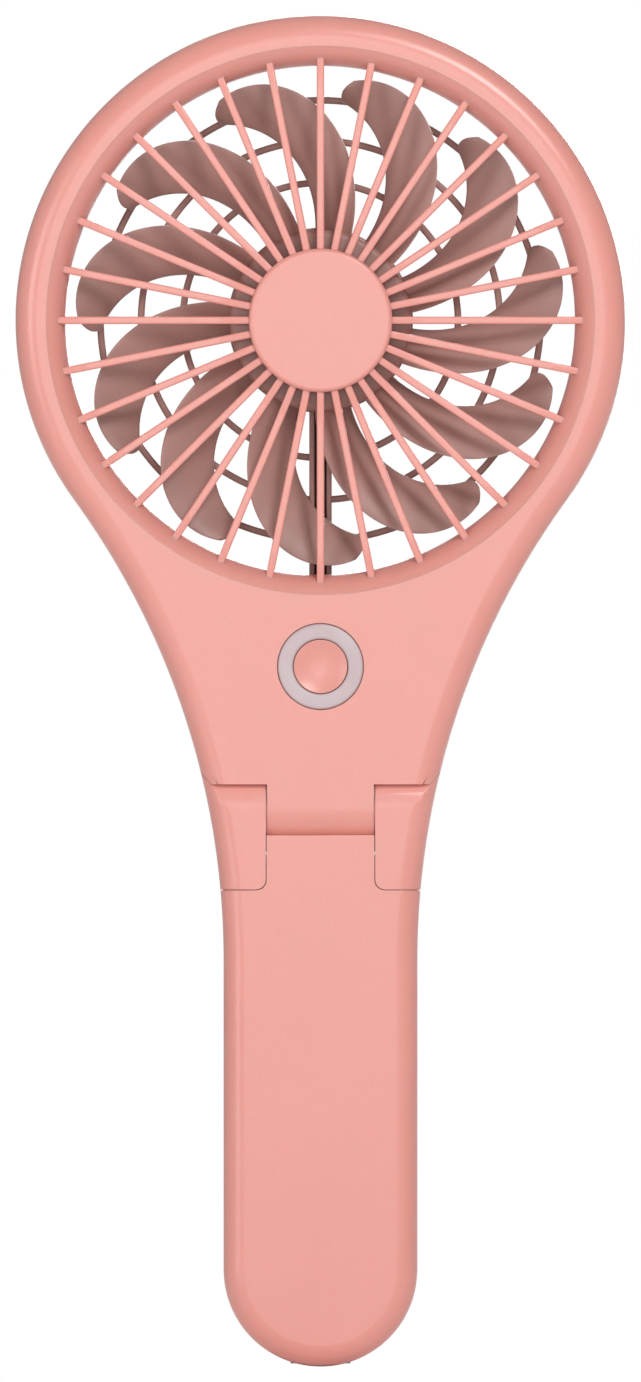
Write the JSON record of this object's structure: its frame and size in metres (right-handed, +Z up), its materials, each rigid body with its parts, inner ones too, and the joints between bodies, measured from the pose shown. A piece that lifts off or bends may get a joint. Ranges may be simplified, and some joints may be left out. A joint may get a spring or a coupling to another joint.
{
  "type": "handheld electric fan",
  "caption": "Folding handheld fan: a round guarded head with a power button in its neck, on a slim battery handle with a friction hinge.",
  "frame": {"origin": "middle of the grip, on the handle's centre line", "axes": "+Z up the handle towards the head, -Y out of the front grille, +X to the right seen from behind -Y"},
  "size_m": [0.0976, 0.0168, 0.2162],
  "materials": {
    "body_pink": "fine matt",
    "rotor_rose": "satin",
    "light_ring": "glossy, milky",
    "steel": "satin",
    "battery_foil": "satin",
    "lead_jacket": "satin",
    "circuit_board": "solder mask",
    "bronze": "sintered",
    "copper_wire": "enamelled",
    "led_lens": "clear",
    "switch_black": "moulded",
    "magnet": "sintered",
    "clip_nylon": "moulded"
  },
  "bodies": {
    "handle": {"handle_front_shell": "body_pink", "handle_rear_shell": "body_pink", "left_hinge_cover": "body_pink", "right_hinge_cover": "body_pink", "left_hinge_pin": "steel", "right_hinge_pin": "steel", "hinge_washers": "steel", "handle_screws": "steel", "battery_cell": "battery_foil", "battery_leads": "lead_jacket", "charge_board": "circuit_board", "usb_socket": "steel", "supply_lead": "lead_jacket"},
    "head": {"head_front_shell": "body_pink", "head_rear_shell": "body_pink", "head_screws": "steel", "front_grille": "body_pink", "grille_cap": "body_pink", "rear_grille": "rotor_rose", "sleeve_bearing": "bronze", "stator_core": "steel", "stator_coils": "copper_wire", "driver_board": "circuit_board", "motor_leads": "lead_jacket", "control_board": "circuit_board", "board_screws": "steel", "control_lead": "lead_jacket", "led_chips": "led_lens", "light_ring": "light_ring", "switch_body": "switch_black"},
    "rotor": {"fan_rotor": "rotor_rose", "motor_shaft": "steel", "rotor_yoke": "steel", "magnet_ring": "magnet", "shaft_clip": "clip_nylon"},
    "button": {"power_button": "body_pink", "switch_plunger": "clip_nylon"}
  },
  "joints": [
    {"name": "head_fold", "type": "hinge", "parent": "handle", "child": "head", "pos_m": [0, 0, 0.0443], "axis": [-1, 0, 0], "range_deg": [0, 90]},
    {"name": "fan_spin", "type": "hinge", "parent": "head", "child": "rotor", "pos_m": [0, 0, 0.1224], "axis": [0, -1, 0], "continuous": true},
    {"name": "button_press", "type": "slide", "parent": "head", "child": "button", "axis": [0, 1, 0], "range_m": [0, 0.0005], "stiffness_N_per_m": 1500}
  ]
}
